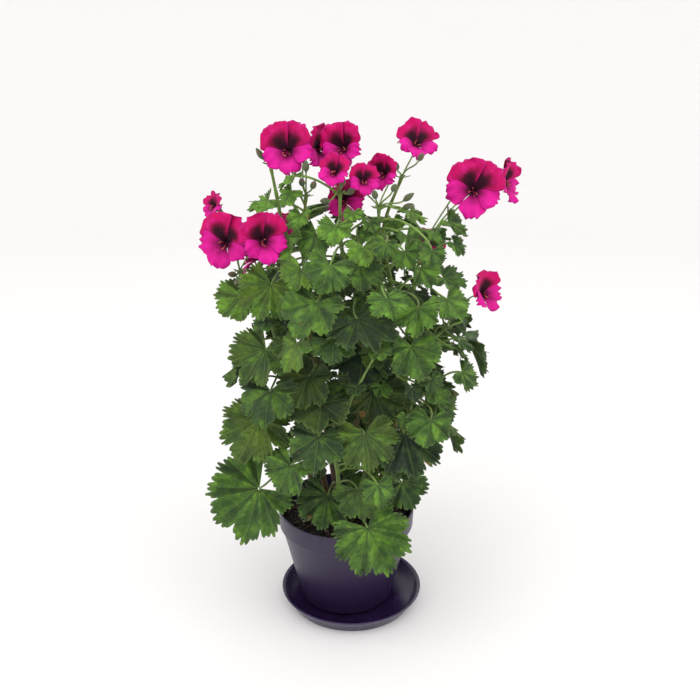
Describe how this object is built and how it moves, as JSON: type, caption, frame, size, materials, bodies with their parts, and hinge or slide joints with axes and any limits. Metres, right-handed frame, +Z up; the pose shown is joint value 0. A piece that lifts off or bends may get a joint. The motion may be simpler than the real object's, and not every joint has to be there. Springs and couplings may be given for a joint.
{
  "type": "potted regal pelargonium on a saucer",
  "caption": "Flowering regal pelargonium, a tender kind of geranium, with pleated fan leaves and wide magenta flowers, in a black nursery pot on a saucer.",
  "frame": {"origin": "centre of the saucer's underside", "axes": "+Z up along the plant, -Y toward the side that the picture shows, +X to that side's right"},
  "size_m": [0.2689, 0.2275, 0.4554],
  "materials": {
    "saucer_plastic": "satin",
    "pot_plastic": "satin",
    "soil": "matte",
    "leaf": "satin",
    "petal": "matte"
  },
  "bodies": {
    "root": {"saucer": "saucer_plastic", "pot": "pot_plastic", "soil": "soil", "stem_left": "leaf", "stem_left_top": "leaf", "stem_mid_left": "leaf", "stem_mid": "leaf", "stem_mid_right": "leaf", "stem_right_top": "leaf", "stem_right": "leaf", "stem_far_right": "leaf", "stem_back_left": "leaf", "stem_back": "leaf", "stem_back_right": "leaf", "stem_front": "leaf", "stem_left_low": "leaf", "stem_right_low": "leaf", "bloom_top_left": "petal", "bloom_top_left_side": "petal", "bloom_top_mid": "petal", "bloom_mid_low": "petal", "bloom_mid_right": "petal", "bloom_mid_side": "petal", "bloom_hanging": "petal", "bloom_top_right": "petal", "bloom_right": "petal", "bloom_right_side": "petal", "bloom_far_right": "petal", "bloom_left": "petal", "bloom_left_mid": "petal", "bloom_left_half_open": "petal", "bloom_back_left": "petal", "bloom_back_left_side": "petal", "bloom_back_right": "petal"}
  },
  "joints": []
}
